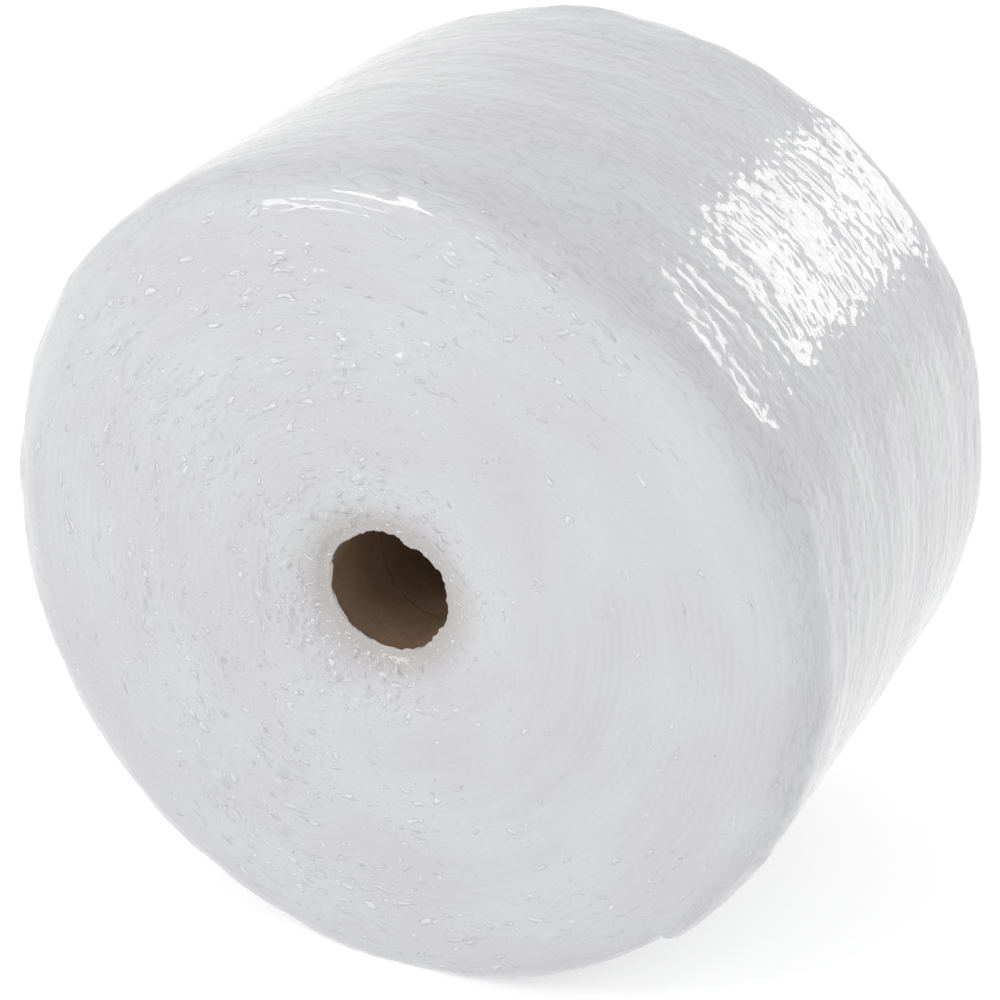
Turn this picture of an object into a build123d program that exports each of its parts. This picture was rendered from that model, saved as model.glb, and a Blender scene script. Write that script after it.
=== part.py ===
from build123d import *

import os
from math import cos, radians, sin

# Roll of small-bubble cushioning film on a cardboard core, lying on its side.
# The roll's axis runs along Y, +Z is up, and the origin is on the floor under its middle.
# All sizes are in millimetres and all angles in degrees, from +X towards +Z.

# The web of film, as it comes off the roll
WEB_WIDTH = 305.0
WEB_THICKNESS = 4.8

# The wound roll
ROLL_RADIUS = 252.0  # at the free end, where the outermost turn stands highest
TAIL_ANGLE = -45.0  # where the free end of the web lies
EDGE_ROUND = 25.0  # the soft edges between the side and the two ends
EDGE_STAND = 1.0  # how far the round of an edge starts outside the largest turn
DISH_RADIUS = 100.0  # each end sinks towards the core inside this radius
DISH_DEPTH = 11.0
FLAT_DEPTH = 4.2  # how far the roll settles below its last full turn

# The core, a spiral-wound cardboard tube
CORE_BORE = 76.2
CORE_WALL = 4.0
CORE_INSET = 2.0  # the film laps past each end of the core by this much

# Sizes that follow from those above
HALF_WIDTH = WEB_WIDTH / 2
CORE_RADIUS = CORE_BORE / 2 + CORE_WALL
CORE_LENGTH = WEB_WIDTH - 2 * (DISH_DEPTH + CORE_INSET)
AXIS_HEIGHT = ROLL_RADIUS - WEB_THICKNESS - FLAT_DEPTH

# The two planes through the middle of the roll: across it and along it
across = Plane(origin=(0, 0, AXIS_HEIGHT), x_dir=(1, 0, 0), z_dir=(0, -1, 0))
along = Plane(origin=(0, 0, AXIS_HEIGHT), x_dir=(0, 1, 0), z_dir=(1, 0, 0))
roll_axis = Axis((0, 0, AXIS_HEIGHT), (0, 1, 0))


def direction(angle):
    """Unit vector at an angle in the plane across the roll."""
    return Vector(cos(radians(angle)), sin(radians(angle)))


with BuildPart() as bubble_film:
    # Outermost turn: a spiral of four quarter arcs, which loses one web thickness in a turn.
    # Each arc is smaller than the last by a quarter of that, and its centre moves in by as much,
    # so that the arcs meet smoothly. The cut end of the web closes the outline as a step.
    with BuildSketch(across) as outline:
        with BuildLine() as turn:
            quarter = WEB_THICKNESS / 4
            centre = Vector(0, 0)
            for k in range(4):
                start = TAIL_ANGLE + 90 * k
                CenterArc(centre, ROLL_RADIUS - k * quarter, start, 90)
                centre += direction(start + 90) * quarter
            Line(turn.line @ 1, turn.line @ 0)
        make_face()
    extrude(amount=HALF_WIDTH, both=True)

    # Half section of the roll from its core outwards: bore, dished end, flat end and round edge
    with BuildSketch(along) as section:
        with BuildLine() as half_section:
            envelope = ROLL_RADIUS + EDGE_STAND
            Line((0, CORE_RADIUS), (HALF_WIDTH - DISH_DEPTH, CORE_RADIUS))
            TangentArc(
                (HALF_WIDTH, DISH_RADIUS),
                (HALF_WIDTH - DISH_DEPTH, CORE_RADIUS),
                tangent=(0, -1),
            )
            Line((HALF_WIDTH, DISH_RADIUS), (HALF_WIDTH, envelope - EDGE_ROUND))
            CenterArc((HALF_WIDTH - EDGE_ROUND, envelope - EDGE_ROUND), EDGE_ROUND, 0, 90)
            Line((HALF_WIDTH - EDGE_ROUND, envelope), (0, envelope))
            mirror(about=Plane.YZ)
        make_face()
    revolve(axis=roll_axis, mode=Mode.INTERSECT)

    # Flat spot on which the roll lies
    split(bisect_by=Plane.XY, keep=Keep.TOP)

with BuildPart() as core:
    with BuildSketch(across) as tube:
        Circle(CORE_RADIUS)
        Circle(CORE_BORE / 2, mode=Mode.SUBTRACT)
    extrude(amount=CORE_LENGTH / 2, both=True)

os.makedirs("parts", exist_ok=True)

bubble_film.part.label = "bubble_film"
export_step(bubble_film.part, "parts/bubble_film.step")

core.part.label = "core"
export_step(core.part, "parts/core.step")
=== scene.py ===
"""Looks of a roll of bubble film that lies on its side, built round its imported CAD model.
The roll's axis runs along Y, +Z is up, and all lengths are in metres."""

from itertools import product

import bpy
import numpy as np
from mathutils import Matrix, Vector


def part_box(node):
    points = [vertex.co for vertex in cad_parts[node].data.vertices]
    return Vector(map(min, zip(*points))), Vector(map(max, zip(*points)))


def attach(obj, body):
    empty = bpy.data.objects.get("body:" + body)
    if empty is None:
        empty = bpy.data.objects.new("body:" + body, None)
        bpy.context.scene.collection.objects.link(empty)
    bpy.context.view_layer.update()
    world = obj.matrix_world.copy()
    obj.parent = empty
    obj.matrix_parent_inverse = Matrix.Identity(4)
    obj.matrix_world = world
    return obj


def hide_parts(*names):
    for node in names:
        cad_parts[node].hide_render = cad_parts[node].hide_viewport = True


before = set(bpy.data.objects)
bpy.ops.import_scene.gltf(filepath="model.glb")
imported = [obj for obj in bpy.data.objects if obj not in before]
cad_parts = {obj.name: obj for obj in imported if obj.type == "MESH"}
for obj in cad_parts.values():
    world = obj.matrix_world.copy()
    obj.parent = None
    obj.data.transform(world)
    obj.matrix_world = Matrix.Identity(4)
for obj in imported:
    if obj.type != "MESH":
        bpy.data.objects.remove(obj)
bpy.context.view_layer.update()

# ---------------------------------------------------------------------------------------------
# Wound web. The real piece is one long sheet of polythene bubble film, two layers heat-sealed
# round small air bubbles, wound tight on the core. Its outermost turn is the roll's side, and
# the cut edges of all its turns are the two ends, crushed and crinkled by handling.
# ---------------------------------------------------------------------------------------------

film_low, film_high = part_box("bubble_film")
core_low, core_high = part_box("core")

roll_radius = film_high.x  # at the free end of the web, where the outline is largest
half_width = film_high.y
axis_height = (core_low.z + core_high.z) / 2
core_radius = (core_high.z - core_low.z) / 2
core_half = core_high.y
web_thickness = 0.0048
tail_angle = np.radians(-45.0)
edge_round = 0.025
dish_radius = 0.100
dish_depth = 0.011
lip_radius = 0.0366  # the film laps a little over the mouth of the core
lip_most = 0.0377  # and stays inside its bore
lip_curl = 0.0012
lip_clearance = 0.0010
floor_gap = 0.0002

columns = 800  # round the roll
rows_per_turn = 4  # on the ends, so that each turn's cut edge has its own ridge
face_rows = 160
edge_rows = 26
side_rows = 160


def gradient_noise(points, seed):
    """Perlin noise, about -1 to 1: each corner of the unit cell round a point has a random unit
    vector; its dot product with the way to the point is blended by 6t^5 - 15t^4 + 10t^3."""
    rng = np.random.default_rng(seed)
    shuffled = rng.permutation(256)
    arrows = rng.normal(size=(256, 3))
    arrows /= np.linalg.norm(arrows, axis=1, keepdims=True)
    cell = np.floor(points).astype(np.int64)
    inside = points - cell
    blend = inside**3 * (inside * (inside * 6 - 15) + 10)
    total = np.zeros(points.shape[:-1])
    for corner in product((0, 1), repeat=3):
        at = (cell + corner) & 255
        number = shuffled[(shuffled[(shuffled[at[..., 0]] + at[..., 1]) & 255] + at[..., 2]) & 255]
        weight = np.prod(np.where(corner, blend, 1 - blend), axis=-1)
        total += weight * np.sum(arrows[number] * (inside - corner), axis=-1)
    return total * 1.5


def shards(points, keep, seed):
    """Scattered pointed bumps: each unit cell has one middle at a random place, and its bump is 1
    there and falls straight to 0 where |dx| + |dy| + |dz| is 0.55. keep is the share of the cells
    that have a bump."""
    rng = np.random.default_rng(seed)
    shuffled = rng.permutation(256)
    spots = rng.random((256, 3))
    odds = rng.random(256)
    cell = np.floor(points).astype(np.int64)
    inside = points - cell
    best = np.zeros(points.shape[:-1])
    for step in product((-1, 0, 1), repeat=3):
        at = (cell + step) & 255
        number = shuffled[(shuffled[(shuffled[at[..., 0]] + at[..., 1]) & 255] + at[..., 2]) & 255]
        away = np.sum(np.abs(inside - step - spots[number]), axis=-1)
        best = np.maximum(best, (1 - away / 0.55) * (odds[number] < keep))
    return best


def smooth_step(value, low, high):
    """0 below low, 1 above high, and 3t^2 - 2t^3 between them."""
    t = np.clip((value - low) / (high - low), 0, 1)
    return t * t * (3 - 2 * t)


def bell(value, middle, width):
    """Bell curve: 1 at middle, and 1/e at width from it."""
    return np.exp(-(((value - middle) / width) ** 2))


# The web's grid: columns run round the roll from its free end, and rows run from the mouth of
# the core over the front end, the side and the rear end, back to the core. On the ends a row
# follows the spiral of the turns, so that it meets the next turn's row after a full circle.
turned = np.linspace(0, 2 * np.pi, columns + 1)
angle = tail_angle + turned
outline = roll_radius - web_thickness * turned / (2 * np.pi)

row_step = web_thickness / rows_per_turn
face_inset = edge_round + row_step * np.arange(face_rows, 0, -1)
bend = np.linspace(0, np.pi / 2, edge_rows + 1)
edge_inset = edge_round * (1 - np.sin(bend))
edge_y = edge_round - half_width - edge_round * np.cos(bend)
side_y = np.linspace(edge_y[-1], -edge_y[-1], side_rows + 1)[1:-1]
half_inset = np.concatenate([face_inset, edge_inset])
half_y = np.concatenate([np.full(face_rows, -half_width), edge_y])
half_lean = np.concatenate([np.zeros(face_rows), bend])
inset = np.concatenate([half_inset, np.zeros(side_rows - 1), half_inset[::-1]])
row_y = np.concatenate([half_y, side_y, -half_y[::-1]])
lean = np.concatenate([half_lean, np.full(side_rows - 1, np.pi / 2), half_lean[::-1]])[:, None]
rows = len(inset)

radius = outline[None, :] - inset[:, None]
y = np.repeat(row_y[:, None], columns + 1, axis=1)
end = np.sign(y)  # -1 on the front end, +1 on the rear end
theta = np.repeat(angle[None, :], rows, axis=0)
degrees = np.degrees(theta)
is_face = (inset > edge_round * 1.0001)[:, None]
on_end = 1 - lean / (np.pi / 2)
on_end = on_end * on_end * (3 - 2 * on_end)
depth = y + end * (roll_radius - radius)  # along the film, over the rim and down the end


def off_angle(middle):
    """Degrees round the roll from middle, between -180 and 180."""
    return (degrees - middle + 180) % 360 - 180


def film_grid(length, width, sway=0.0):
    """Points that place a pattern on the film: its cells are about length round the roll at the
    rim and width across the turns, and it closes on itself round the roll."""
    reach = roll_radius / length * np.sqrt(np.maximum(radius, 0.02) / roll_radius)
    along = [reach * np.cos(theta), reach * np.sin(theta), (depth + sway) / width]
    return np.stack(along, axis=-1) + 40.0


def on_film(length, width, seed):
    """Gradient noise drawn out along the turns."""
    return gradient_noise(film_grid(length, width), seed)


# How crinkled the ends are: patches as (angle, radius, spread round, spread outwards, strength)
front_patches = (
    (235, 0.150, 45, 0.080, 1.00),
    (275, 0.200, 35, 0.045, 0.55),
    (105, 0.150, 42, 0.080, 0.75),
    (160, 0.170, 35, 0.070, 0.50),
    (62, 0.228, 16, 0.030, 0.80),
    (-45, 0.215, 16, 0.020, 0.35),
)
rear_patches = (
    (30, 0.160, 40, 0.060, 0.90),
    (150, 0.120, 35, 0.060, 0.60),
    (260, 0.180, 45, 0.050, 0.80),
)


def patchiness(patches):
    """Sum of soft patches: strength times a bell curve in angle and in radius."""
    total = np.full(radius.shape, 0.06)
    for at_angle, at_radius, round_by, out_by, strength in patches:
        total += strength * bell(off_angle(at_angle), 0, round_by) * bell(radius, at_radius, out_by)
    return total


near_core = 1 - smooth_step(radius, 0.055, 0.095)
facing_tail = bell(off_angle(-20), 0, 60)
crinkle = np.where(end < 0, patchiness(front_patches), patchiness(rear_patches))
crinkle = crinkle * (0.8 + 0.8 * on_film(0.06, 0.03, 11)) + near_core * (0.9 - 0.5 * facing_tail)
crinkle = np.clip(crinkle, 0.0, 1.1) * on_end

# Ends: the turns stand more or less proud in groups, each turn's cut edge is a faint ridge, and
# crushed film stands up in pointed folds
swing = 0.006 * on_film(0.05, 0.03, 12)
turn_phase = (np.arange(rows) % rows_per_turn) / rows_per_turn
ridge = (0.5 - 0.5 * np.cos(2 * np.pi * turn_phase))[:, None]
lumps = on_film(0.11, 0.06, 23)
steps = on_film(0.15, 0.012, 24)
large_folds = shards(film_grid(0.026, 0.0085, swing), 0.15 + 0.6 * crinkle, 25)
small_folds = shards(film_grid(0.013, 0.0050, swing), 0.10 + 0.7 * crinkle, 26)
end_height = 0.0018 * lumps + 0.0007 * steps + 0.00025 * ridge * (1 + on_film(0.022, 0.0055, 21))
end_height += crinkle * (0.0026 * large_folds + 0.0014 * small_folds)

# Side: tight outer film over small bubbles, with slack facets that run round the roll
pitch = 0.0105
run = roll_radius * turned[None, :] + 0.0012 * on_film(0.05, 0.05, 31)
lane = y + 0.0012 * on_film(0.05, 0.05, 32)
bubble = np.zeros_like(radius)
for shift in (0, 1):
    du = (run / pitch + shift / 2 + 0.5) % 1 - 0.5
    dv = (lane / (pitch * np.sqrt(3)) + shift / 2 + 0.5) % 1 - 0.5
    off = np.hypot(du * pitch, dv * pitch * np.sqrt(3)) / (pitch / 2)
    bubble = np.maximum(bubble, np.sqrt(np.clip(1 - off**2, 0, 1)))
facets = np.abs(on_film(0.024, 0.010, 33))
pulls = on_film(0.09, 0.016, 34)
side_height = 0.0014 * lumps + 0.0004 * pulls + 0.0006 * facets + 0.0002 * bubble

# Rim: the film rolls over it in soft lumps
rim_weight = bell(np.abs(depth), half_width - 0.010, 0.030)
rim_lumps = on_film(0.045, 0.030, 35) + 0.5 * on_film(0.020, 0.014, 36)
height = on_end * end_height + (1 - on_end) * side_height + 0.0016 * rim_weight * rim_lumps

# Base shape: rounded edges, dished ends and a ragged lip that curls into the core
sink = dish_radius - np.minimum(radius, dish_radius)
dish_arc = ((dish_radius - core_radius) ** 2 + dish_depth**2) / (2 * dish_depth)
sunk = dish_arc - np.sqrt(dish_arc**2 - np.minimum(sink, dish_radius - lip_radius) ** 2)
sunk = np.minimum(sunk, half_width - core_half - lip_clearance)
ragged = lip_radius + 0.0012 * on_film(0.05, 1.0, 41) - 0.0022 * np.abs(on_film(0.016, 1.0, 42))
ragged -= np.where(end < 0, 0.0030 * bell(off_angle(68), 0, 9), 0)
ragged += np.where(end < 0, 0.0015 * bell(off_angle(32), 0, 5), 0)
ragged = np.minimum(ragged, lip_most)
curl = lip_curl * (1 - np.exp(-np.clip(ragged - radius, 0, None) / lip_curl))
height = height * np.where(is_face, smooth_step(radius, ragged, core_radius + 0.006), 1)
shaped_radius = np.where(is_face, np.maximum(radius, ragged), radius)
shaped_y = np.where(is_face, y - end * (sunk + curl), y)

# Slack: the soft roll is out of round, its front end is dented at the top and stands out below
near_front = bell(shaped_y, -half_width, 0.060)
outwards = (radius / roll_radius) ** 2
slack = -0.0060 * bell(off_angle(185), 0, 45) + 0.0045 * bell(off_angle(30), 0, 32)
slack = slack + 0.0030 * bell(off_angle(285), 0, 25) - 0.0090 * near_front * bell(off_angle(72), 0, 26)
slack = slack - 0.0040 * near_front * bell(off_angle(35), 0, 22)
leant = -0.0060 * near_front * bell(off_angle(268), 0, 55)

shaped_radius = shaped_radius + height * np.sin(lean) + slack * outwards
shaped_y = shaped_y + end * height * np.cos(lean) + leant * outwards
x = shaped_radius * np.cos(theta)
z = np.maximum(axis_height + shaped_radius * np.sin(theta), floor_gap)
place = np.stack([x, shaped_y, z], axis=-1)


def film_normals():
    """Outward unit normals: the cross product of the steps across the rows and round the roll.
    The first and last columns share their normals, since the turns join there."""
    round_step = np.gradient(place, axis=1)
    row_by = np.gradient(place, axis=0)
    out = np.cross(row_by, round_step)
    out /= np.maximum(np.linalg.norm(out, axis=-1, keepdims=True), 1e-12)
    front, rear = slice(0, face_rows - 4), slice(rows - face_rows + 4, rows)
    next_front, next_rear = slice(4, face_rows), slice(rows - face_rows, rows - 4)
    for first, last in ((front, next_front), (rear, next_rear)):
        shared = out[first, 0] + out[last, -1]
        shared /= np.linalg.norm(shared, axis=-1, keepdims=True)
        out[first, 0] = shared
        out[last, -1] = shared
    return out


def grid_mesh(name, part, normals=None):
    """Mesh of a grid of points: quads between neighbouring rows and columns, facing outwards."""
    count, width = part.shape[:2]
    index = np.arange(count * width).reshape(count, width)
    quads = np.stack([index[:-1, :-1], index[1:, :-1], index[1:, 1:], index[:-1, 1:]], axis=-1)
    mesh = bpy.data.meshes.new(name)
    mesh.from_pydata(part.reshape(-1, 3), [], quads.reshape(-1, 4).tolist())
    mesh.polygons.foreach_set("use_smooth", np.ones(len(mesh.polygons), bool))
    if normals is not None:
        mesh.normals_split_custom_set_from_vertices(normals.reshape(-1, 3).tolist())
    piece = bpy.data.objects.new(name, mesh)
    bpy.context.scene.collection.objects.link(piece)
    return piece


def add(tree, kind, inputs=(), **settings):
    """Adds a shader node. inputs maps a socket's name or number to a value or to an output."""
    node = tree.nodes.new("ShaderNode" + kind)
    for name, value in settings.items():
        setattr(node, name, value)
    for socket, value in dict(inputs).items():
        if isinstance(value, bpy.types.NodeSocket):
            tree.links.new(value, node.inputs[socket])
        else:
            node.inputs[socket].default_value = value
    return node


def maths(tree, operation, *values, clamp=False):
    """Output of a Math node."""
    return add(tree, "Math", enumerate(values), operation=operation, use_clamp=clamp).outputs[0]


def mix_colour(tree, share, under, over):
    """Colour output of a Mix node: under where share is 0, and over where it is 1."""
    node = add(tree, "Mix", {0: share, 6: under, 7: over}, data_type="RGBA")
    return node.outputs[2]


def new_group(name, inputs, outputs):
    """Shader node group with those sockets, each given as name: type. Returns its tree and the
    outputs of its input node."""
    tree = bpy.data.node_groups.new(name, "ShaderNodeTree")
    for sockets, way in ((inputs, "INPUT"), (outputs, "OUTPUT")):
        for label, kind in sockets.items():
            tree.interface.new_socket(label, in_out=way, socket_type="NodeSocket" + kind)
    return tree, tree.nodes.new("NodeGroupInput").outputs


def swayed(tree, flow, scale, strength):
    """Flow moved about by coloured noise, so that the patterns on it wander."""
    noise = add(tree, "TexNoise", {"Vector": flow, "Scale": scale, "Detail": 0.0})
    centred = add(tree, "VectorMath", {0: noise.outputs["Color"], 1: (0.5, 0.5, 0.5)}, operation="SUBTRACT")
    spread = add(tree, "VectorMath", {0: centred.outputs[0], "Scale": strength}, operation="SCALE")
    return add(tree, "VectorMath", {0: flow, 1: spread.outputs[0]}, operation="ADD").outputs[0]


def folded_film():
    """Shader group for film ends that stand up in small pointed folds. Flow places a point along
    and across the film, and Crumple, 0 to 1, says how many folds there are. Height is in
    millimetres, Fold_Highlight is 1 on a fold, whose top is painted near white as a painted
    highlight, and Edges is 1 in the thin crease beside it, which is painted grey as painted shade."""
    tree, given = new_group(
        "folded_film",
        {"Flow": "Vector", "Crumple": "Float"},
        {"Height": "Float", "Fold_Highlight": "Float", "Edges": "Float"},
    )
    flow = swayed(tree, given["Flow"], 0.6, 1.8)
    height = 0.0
    folds = 0.0
    edges = 0.0
    for scale, size, most, tall in ((0.8, 0.42, 0.60, 1.1), (1.8, 0.45, 0.60, 0.45)):
        cells = add(tree, "TexVoronoi", {"Vector": flow, "Scale": scale}, distance="MANHATTAN")
        odds = add(tree, "SeparateColor", {0: cells.outputs["Color"]}).outputs
        kept = maths(tree, "LESS_THAN", odds[0], maths(tree, "MULTIPLY", given["Crumple"], most))
        spike = maths(tree, "SUBTRACT", 1.0, maths(tree, "DIVIDE", cells.outputs["Distance"], size))
        spike = maths(tree, "MULTIPLY", spike, kept)
        inside = maths(tree, "MAXIMUM", spike, 0.0)
        height = maths(tree, "MULTIPLY_ADD", inside, tall, height)
        folds = maths(tree, "MAXIMUM", maths(tree, "MULTIPLY", inside, 5.0, clamp=True), folds)
        near = maths(tree, "COMPARE", spike, -0.12, 0.10)
        edges = maths(tree, "MAXIMUM", maths(tree, "MULTIPLY", near, kept), edges)
    edges = maths(tree, "SUBTRACT", edges, folds, clamp=True)
    result = tree.nodes.new("NodeGroupOutput")
    for label, value in (("Height", height), ("Fold_Highlight", folds), ("Edges", edges)):
        tree.links.new(value, result.inputs[label])
    return tree


def slack_film():
    """Shader group for slack film on the roll's side: facets that meet in sharp creases, which are
    |2 noise - 1|. Flow places a point along and across the film. Height is in millimetres, and
    Crease_Shade is 1 in the thin lines where two facets meet, which are painted darker as painted shade."""
    tree, given = new_group("slack_film", {"Flow": "Vector"}, {"Height": "Float", "Crease_Shade": "Float"})
    noise = add(tree, "TexNoise", {"Vector": given["Flow"], "Scale": 0.62, "Detail": 1.0, "Distortion": 0.6})
    facet = maths(tree, "ABSOLUTE", maths(tree, "MULTIPLY_ADD", noise.outputs[0], 2.0, -1.0))
    line = maths(tree, "SUBTRACT", 1.0, maths(tree, "MULTIPLY", facet, 14.0), clamp=True)
    result = tree.nodes.new("NodeGroupOutput")
    tree.links.new(facet, result.inputs["Height"])
    tree.links.new(line, result.inputs["Crease_Shade"])
    return tree


def film_material():
    """Clear polythene many turns deep: milky white inside, with a glossy crumpled skin."""
    film = bpy.data.materials.new("bubble_film")
    film.use_nodes = True
    tree = film.node_tree
    shader = tree.nodes["Principled BSDF"]
    flow = add(tree, "Attribute", attribute_name="flow").outputs["Vector"]
    crumple = add(tree, "Attribute", attribute_name="crinkle").outputs["Fac"]
    side = add(tree, "Attribute", attribute_name="side").outputs["Fac"]
    warmth = add(tree, "Attribute", attribute_name="near_core").outputs["Fac"]
    folded = add(tree, "Group", {"Flow": flow, "Crumple": crumple}, node_tree=folded_film()).outputs
    slack = add(tree, "Group", {"Flow": flow}, node_tree=slack_film()).outputs

    cloud = add(tree, "TexNoise", {"Vector": flow, "Scale": 0.10, "Detail": 2.0}).outputs[0]
    body = add(tree, "ValToRGB", {0: cloud})
    body.color_ramp.elements[0].position = 0.32
    body.color_ramp.elements[0].color = (0.700, 0.690, 0.735, 1)
    body.color_ramp.elements[1].position = 0.68
    body.color_ramp.elements[1].color = (0.735, 0.750, 0.760, 1)
    colour = mix_colour(tree, warmth, body.outputs[0], (0.50, 0.465, 0.44, 1))
    # Painted shade: the thin crease beside each fold on the ends is painted grey.
    colour = mix_colour(tree, maths(tree, "MULTIPLY", folded["Edges"], 0.45), colour, (0.42, 0.42, 0.44, 1))
    # Painted highlight: the tops of the folds on the ends are painted near white.
    colour = mix_colour(tree, maths(tree, "MULTIPLY", folded["Fold_Highlight"], 0.75), colour, (0.95, 0.955, 0.96, 1))
    # Painted shade: the creases between the slack facets on the side are painted darker.
    painted_crease_shade = maths(tree, "MULTIPLY", maths(tree, "MULTIPLY", slack["Crease_Shade"], side), 0.3)
    colour = mix_colour(tree, painted_crease_shade, colour, (0.40, 0.40, 0.39, 1))
    tree.links.new(colour, shader.inputs["Base Color"])

    relief = maths(tree, "MULTIPLY", slack["Height"], side)
    relief = maths(tree, "ADD", relief, folded["Height"])
    bump = add(tree, "Bump", {"Height": relief, "Strength": 1.0, "Distance": 0.001})
    tree.links.new(bump.outputs[0], shader.inputs["Normal"])
    shader.inputs["Roughness"].default_value = 0.35
    shader.inputs["Coat Weight"].default_value = 1.0
    shader.inputs["Coat Roughness"].default_value = 0.05
    return film


film = film_material()
normals = film_normals()
flow = film_grid(0.012, 0.0045, swing)
core_tint = 0.85 * (1 - smooth_step(radius, lip_radius, 0.062)) * on_end
side_share = np.clip(1.15 - on_end + 0.3 * rim_weight, 0, 1) * np.ones_like(radius)
attributes = {"crinkle": crinkle, "near_core": core_tint, "side": side_share}


def dress(piece, first, last):
    """Gives a piece of the web its attributes for the rows from first to last, and its finish."""
    for label, values in attributes.items():
        layer = piece.data.attributes.new(label, "FLOAT", "POINT")
        layer.data.foreach_set("value", values[first:last].astype(np.float32).ravel())
    layer = piece.data.attributes.new("flow", "FLOAT_VECTOR", "POINT")
    layer.data.foreach_set("vector", flow[first:last].astype(np.float32).ravel())
    piece.data.materials.append(film)
    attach(piece, "root")
    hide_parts("bubble_film")


middle = face_rows + edge_rows + side_rows // 2
splits = (
    ("front_end_inner", 0, face_rows // 2),
    ("front_end_outer", face_rows // 2, face_rows),
    ("outer_turn_front", face_rows, middle),
    ("outer_turn_rear", middle, rows - 1 - face_rows),
    ("rear_end_outer", rows - 1 - face_rows, rows - 1 - face_rows // 2),
    ("rear_end_inner", rows - 1 - face_rows // 2, rows - 1),
)
for name, first, last in splits:
    rows_here = slice(first, last + 1)
    piece = grid_mesh(name, place[rows_here], normals[rows_here])
    dress(piece, first, last + 1)

# ---------------------------------------------------------------------------------------------
# Free end of the web. The real piece is the last cut across the sheet: one web thickness of film
# with opened bubbles, lying against the turn below it along the whole width of the roll.
# ---------------------------------------------------------------------------------------------

cut_rows = 6


def even_line(line, count):
    """Points spread evenly by length along a line of points."""
    length = np.concatenate([[0], np.cumsum(np.linalg.norm(np.diff(line, axis=0), axis=1))])
    at = np.linspace(0, length[-1], count)
    return np.stack([np.interp(at, length, line[:, k]) for k in range(3)], axis=-1)


cut_count = 480
above = even_line(place[face_rows - rows_per_turn : rows - face_rows + rows_per_turn, 0], cut_count)
below = even_line(place[face_rows : rows - face_rows, -1], cut_count)
across_cut = np.linspace(0, 1, cut_rows)[:, None, None]
face_out = np.array([np.sin(tail_angle), 0, -np.cos(tail_angle)])
along_cut = np.linspace(0, 2 * half_width, cut_count)
swell = 0.0006 * np.abs(np.sin(np.pi * along_cut / pitch))[None, :, None]
swell = swell * np.sin(np.pi * across_cut)
cut = (below * (1 - across_cut) + above * across_cut + swell * face_out)[:, 1:-1]
cut[..., 2] = np.maximum(cut[..., 2], floor_gap)
free_end = grid_mesh("free_end", cut[::-1])
for label in attributes:
    layer = free_end.data.attributes.new(label, "FLOAT", "POINT")
layer = free_end.data.attributes.new("flow", "FLOAT_VECTOR", "POINT")
layer.data.foreach_set("vector", (cut / 0.0045).astype(np.float32).ravel())
free_end.data.materials.append(film)
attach(free_end, "root")
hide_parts("bubble_film")

# ---------------------------------------------------------------------------------------------
# Innermost turn. The real piece is the start of the web, wound straight onto the core: its ends
# tuck in behind the ragged lip, and its inside lies on the board.
# ---------------------------------------------------------------------------------------------

bore_gap = 0.00005


def ring(at_radius, at_y):
    """Circle of points round the axis, one for each column of the web."""
    return np.stack(
        [at_radius * np.cos(angle), np.full(angle.shape, at_y), axis_height + at_radius * np.sin(angle)],
        axis=-1,
    )


tuck_y = core_half + lip_clearance / 2
lining = np.stack(
    [
        place[-1],
        ring(core_radius - 0.0036, tuck_y),
        ring(core_radius + 0.0004, tuck_y),
        ring(core_radius + bore_gap, core_half - 0.0005),
        ring(core_radius + bore_gap, 0),
        ring(core_radius + bore_gap, 0.0005 - core_half),
        ring(core_radius + 0.0004, -tuck_y),
        ring(core_radius - 0.0036, -tuck_y),
        place[0],
    ]
)
innermost = grid_mesh("innermost_turn", lining)
for label in attributes:
    innermost.data.attributes.new(label, "FLOAT", "POINT")
layer = innermost.data.attributes.new("flow", "FLOAT_VECTOR", "POINT")
layer.data.foreach_set("vector", (lining / 0.0045).astype(np.float32).ravel())
innermost.data.materials.append(film)
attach(innermost, "root")
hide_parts("bubble_film")

# ---------------------------------------------------------------------------------------------
# Core. The real piece is a brown paperboard tube, spirally wound from glued strips, with cut ends.
# It is the CAD node, and gets the board's seams, fibres and stains here.
# ---------------------------------------------------------------------------------------------

strip_pitch = 0.075  # along the tube, from one butt seam of the inner strip to the next
board = bpy.data.materials.new("core_board")
board.use_nodes = True
tree = board.node_tree
shader = tree.nodes["Principled BSDF"]
place_on = add(tree, "TexCoord").outputs["Object"]
parts = add(tree, "SeparateXYZ", {0: place_on}).outputs
up_from_axis = maths(tree, "SUBTRACT", parts["Z"], axis_height)
round_angle = maths(tree, "ARCTAN2", up_from_axis, parts["X"])
turns_round = maths(tree, "DIVIDE", round_angle, 2 * np.pi)
winding = maths(tree, "ADD", maths(tree, "DIVIDE", parts["Y"], strip_pitch), turns_round)
from_seam = maths(tree, "ABSOLUTE", maths(tree, "SUBTRACT", maths(tree, "FRACT", winding), 0.5))
seam = maths(tree, "SUBTRACT", 1.0, maths(tree, "DIVIDE", from_seam, 0.012), clamp=True)
fibre_place = add(tree, "Mapping", {"Vector": place_on, "Scale": (900.0, 140.0, 900.0)})
fibres = add(tree, "TexNoise", {"Vector": fibre_place.outputs[0], "Scale": 1.0, "Detail": 3.0}).outputs[0]
stains = add(tree, "TexNoise", {"Vector": place_on, "Scale": 24.0, "Detail": 3.0}).outputs[0]
tone = maths(tree, "MULTIPLY_ADD", fibres, 0.35, maths(tree, "MULTIPLY", stains, 0.65))
kraft = add(tree, "ValToRGB", {0: tone})
kraft.color_ramp.elements[0].position = 0.33
kraft.color_ramp.elements[0].color = (0.215, 0.135, 0.080, 1)
kraft.color_ramp.elements[1].position = 0.68
kraft.color_ramp.elements[1].color = (0.385, 0.262, 0.168, 1)
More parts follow.
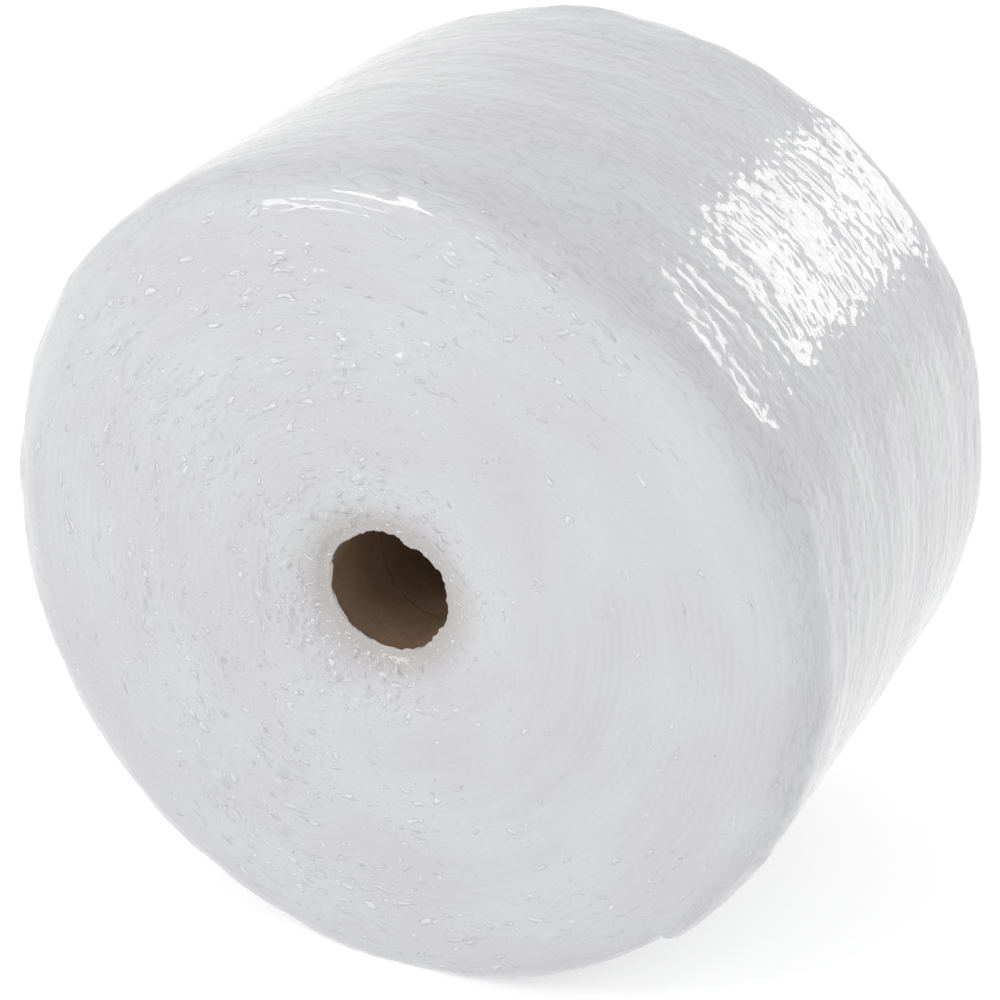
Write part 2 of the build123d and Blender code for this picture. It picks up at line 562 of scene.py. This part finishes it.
colour = mix_colour(tree, maths(tree, "MULTIPLY", seam, 0.6), kraft.outputs[0], (0.10, 0.062, 0.038, 1))
tree.links.new(colour, shader.inputs["Base Color"])
grain = maths(tree, "MULTIPLY_ADD", seam, -1.0, maths(tree, "MULTIPLY", fibres, 0.6))
bump = add(tree, "Bump", {"Height": grain, "Strength": 0.6, "Distance": 0.0003})
tree.links.new(bump.outputs[0], shader.inputs["Normal"])
shader.inputs["Roughness"].default_value = 0.75
core_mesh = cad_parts["core"].data
core_mesh.materials.clear()
core_mesh.materials.append(board)

# ---------------------------------------------------------------------------------------------
# Floor, light and camera. The roll lies on a plain white floor in a pale studio, with one long
# window lamp behind it and a small lamp in front.
# ---------------------------------------------------------------------------------------------

floor_mesh = bpy.data.meshes.new("floor")
floor_mesh.from_pydata([(-6, -6, 0), (6, -6, 0), (6, 6, 0), (-6, 6, 0)], [], [(0, 1, 2, 3)])
floor = bpy.data.objects.new("floor", floor_mesh)
bpy.context.scene.collection.objects.link(floor)


def seen_directly(tree):
    """1 for camera, glossy and transmission rays, and 0 for the rays that light the object."""
    path = add(tree, "LightPath").outputs
    glossy = maths(tree, "MAXIMUM", path["Is Glossy Ray"], path["Is Transmission Ray"])
    return maths(tree, "MAXIMUM", path["Is Camera Ray"], glossy)


paper = bpy.data.materials.new("floor_paper")
paper.use_nodes = True
tree = paper.node_tree
tree.nodes.remove(tree.nodes["Principled BSDF"])
lit = add(tree, "BsdfDiffuse", {"Color": (0.92, 0.92, 0.92, 1)})
top_up = maths(tree, "MULTIPLY", seen_directly(tree), 0.42)
shown = add(tree, "Emission", {"Color": (1, 1, 1, 1), "Strength": top_up})
both = add(tree, "AddShader", {0: lit.outputs[0], 1: shown.outputs[0]})
tree.links.new(both.outputs[0], tree.nodes["Material Output"].inputs["Surface"])
floor_mesh.materials.append(paper)

world = bpy.data.worlds.new("studio")
bpy.context.scene.world = world
world.use_nodes = True
tree = world.node_tree
shown = add(tree, "Background", {"Color": (1, 1, 1, 1), "Strength": 1.0})
lit = tree.nodes["Background"]
lit.inputs["Color"].default_value = (1, 1, 1, 1)
way_up = add(tree, "SeparateXYZ", {0: add(tree, "TexCoord").outputs["Generated"]}).outputs["Z"]
darker_above = add(tree, "MapRange", {"Value": way_up, "From Max": 1.0, "To Min": 0.90, "To Max": 0.52})
tree.links.new(darker_above.outputs[0], lit.inputs["Strength"])
mixed = add(tree, "MixShader", {0: seen_directly(tree), 1: lit.outputs[0], 2: shown.outputs[0]})
tree.links.new(mixed.outputs[0], tree.nodes["World Output"].inputs["Surface"])


def softbox(name, spot, aim, size, radiance, colour=(1, 1, 1), long_way=(1, 0, 0)):
    """Rectangular lamp at spot that faces aim. Its first side runs as near long_way as it can,
    and its power is radiance times pi times its area."""
    lamp = bpy.data.lights.new(name, "AREA")
    lamp.shape = "RECTANGLE"
    lamp.size, lamp.size_y = size
    lamp.energy = radiance * np.pi * size[0] * size[1]
    lamp.color = colour
    back = (Vector(spot) - Vector(aim)).normalized()
    first = Vector(long_way)
    first = (first - back * first.dot(back)).normalized()
    holder = bpy.data.objects.new(name, lamp)
    holder.location = spot
    holder.rotation_euler = Matrix((first, back.cross(first), back)).transposed().to_euler()
    holder.visible_camera = False
    bpy.context.scene.collection.objects.link(holder)


middle_point = (0, 0, axis_height)
softbox("window", (1.22, 2.4, 1.36), middle_point, (1.3, 0.55), 3.2, (1.0, 1.0, 0.94), (-0.7, 0, 0.7))
softbox("key", (-0.72, -1.78, 1.85), middle_point, (0.6, 0.6), 7.0)
softbox("fill", (-1.15, -2.1, 0.80), middle_point, (0.7, 0.35), 5.0)

lens = bpy.data.cameras.new("camera")
lens.lens = 102.33
lens.sensor_width = 36
camera = bpy.data.objects.new("camera", lens)
camera.location = (0.6412, -1.3381, axis_height + 0.77205)
camera.rotation_euler = Vector((-0.38179, 0.79792, -0.46643)).to_track_quat("-Z", "Y").to_euler()
bpy.context.scene.collection.objects.link(camera)
bpy.context.scene.camera = camera
bpy.context.scene.view_settings.view_transform = "Standard"
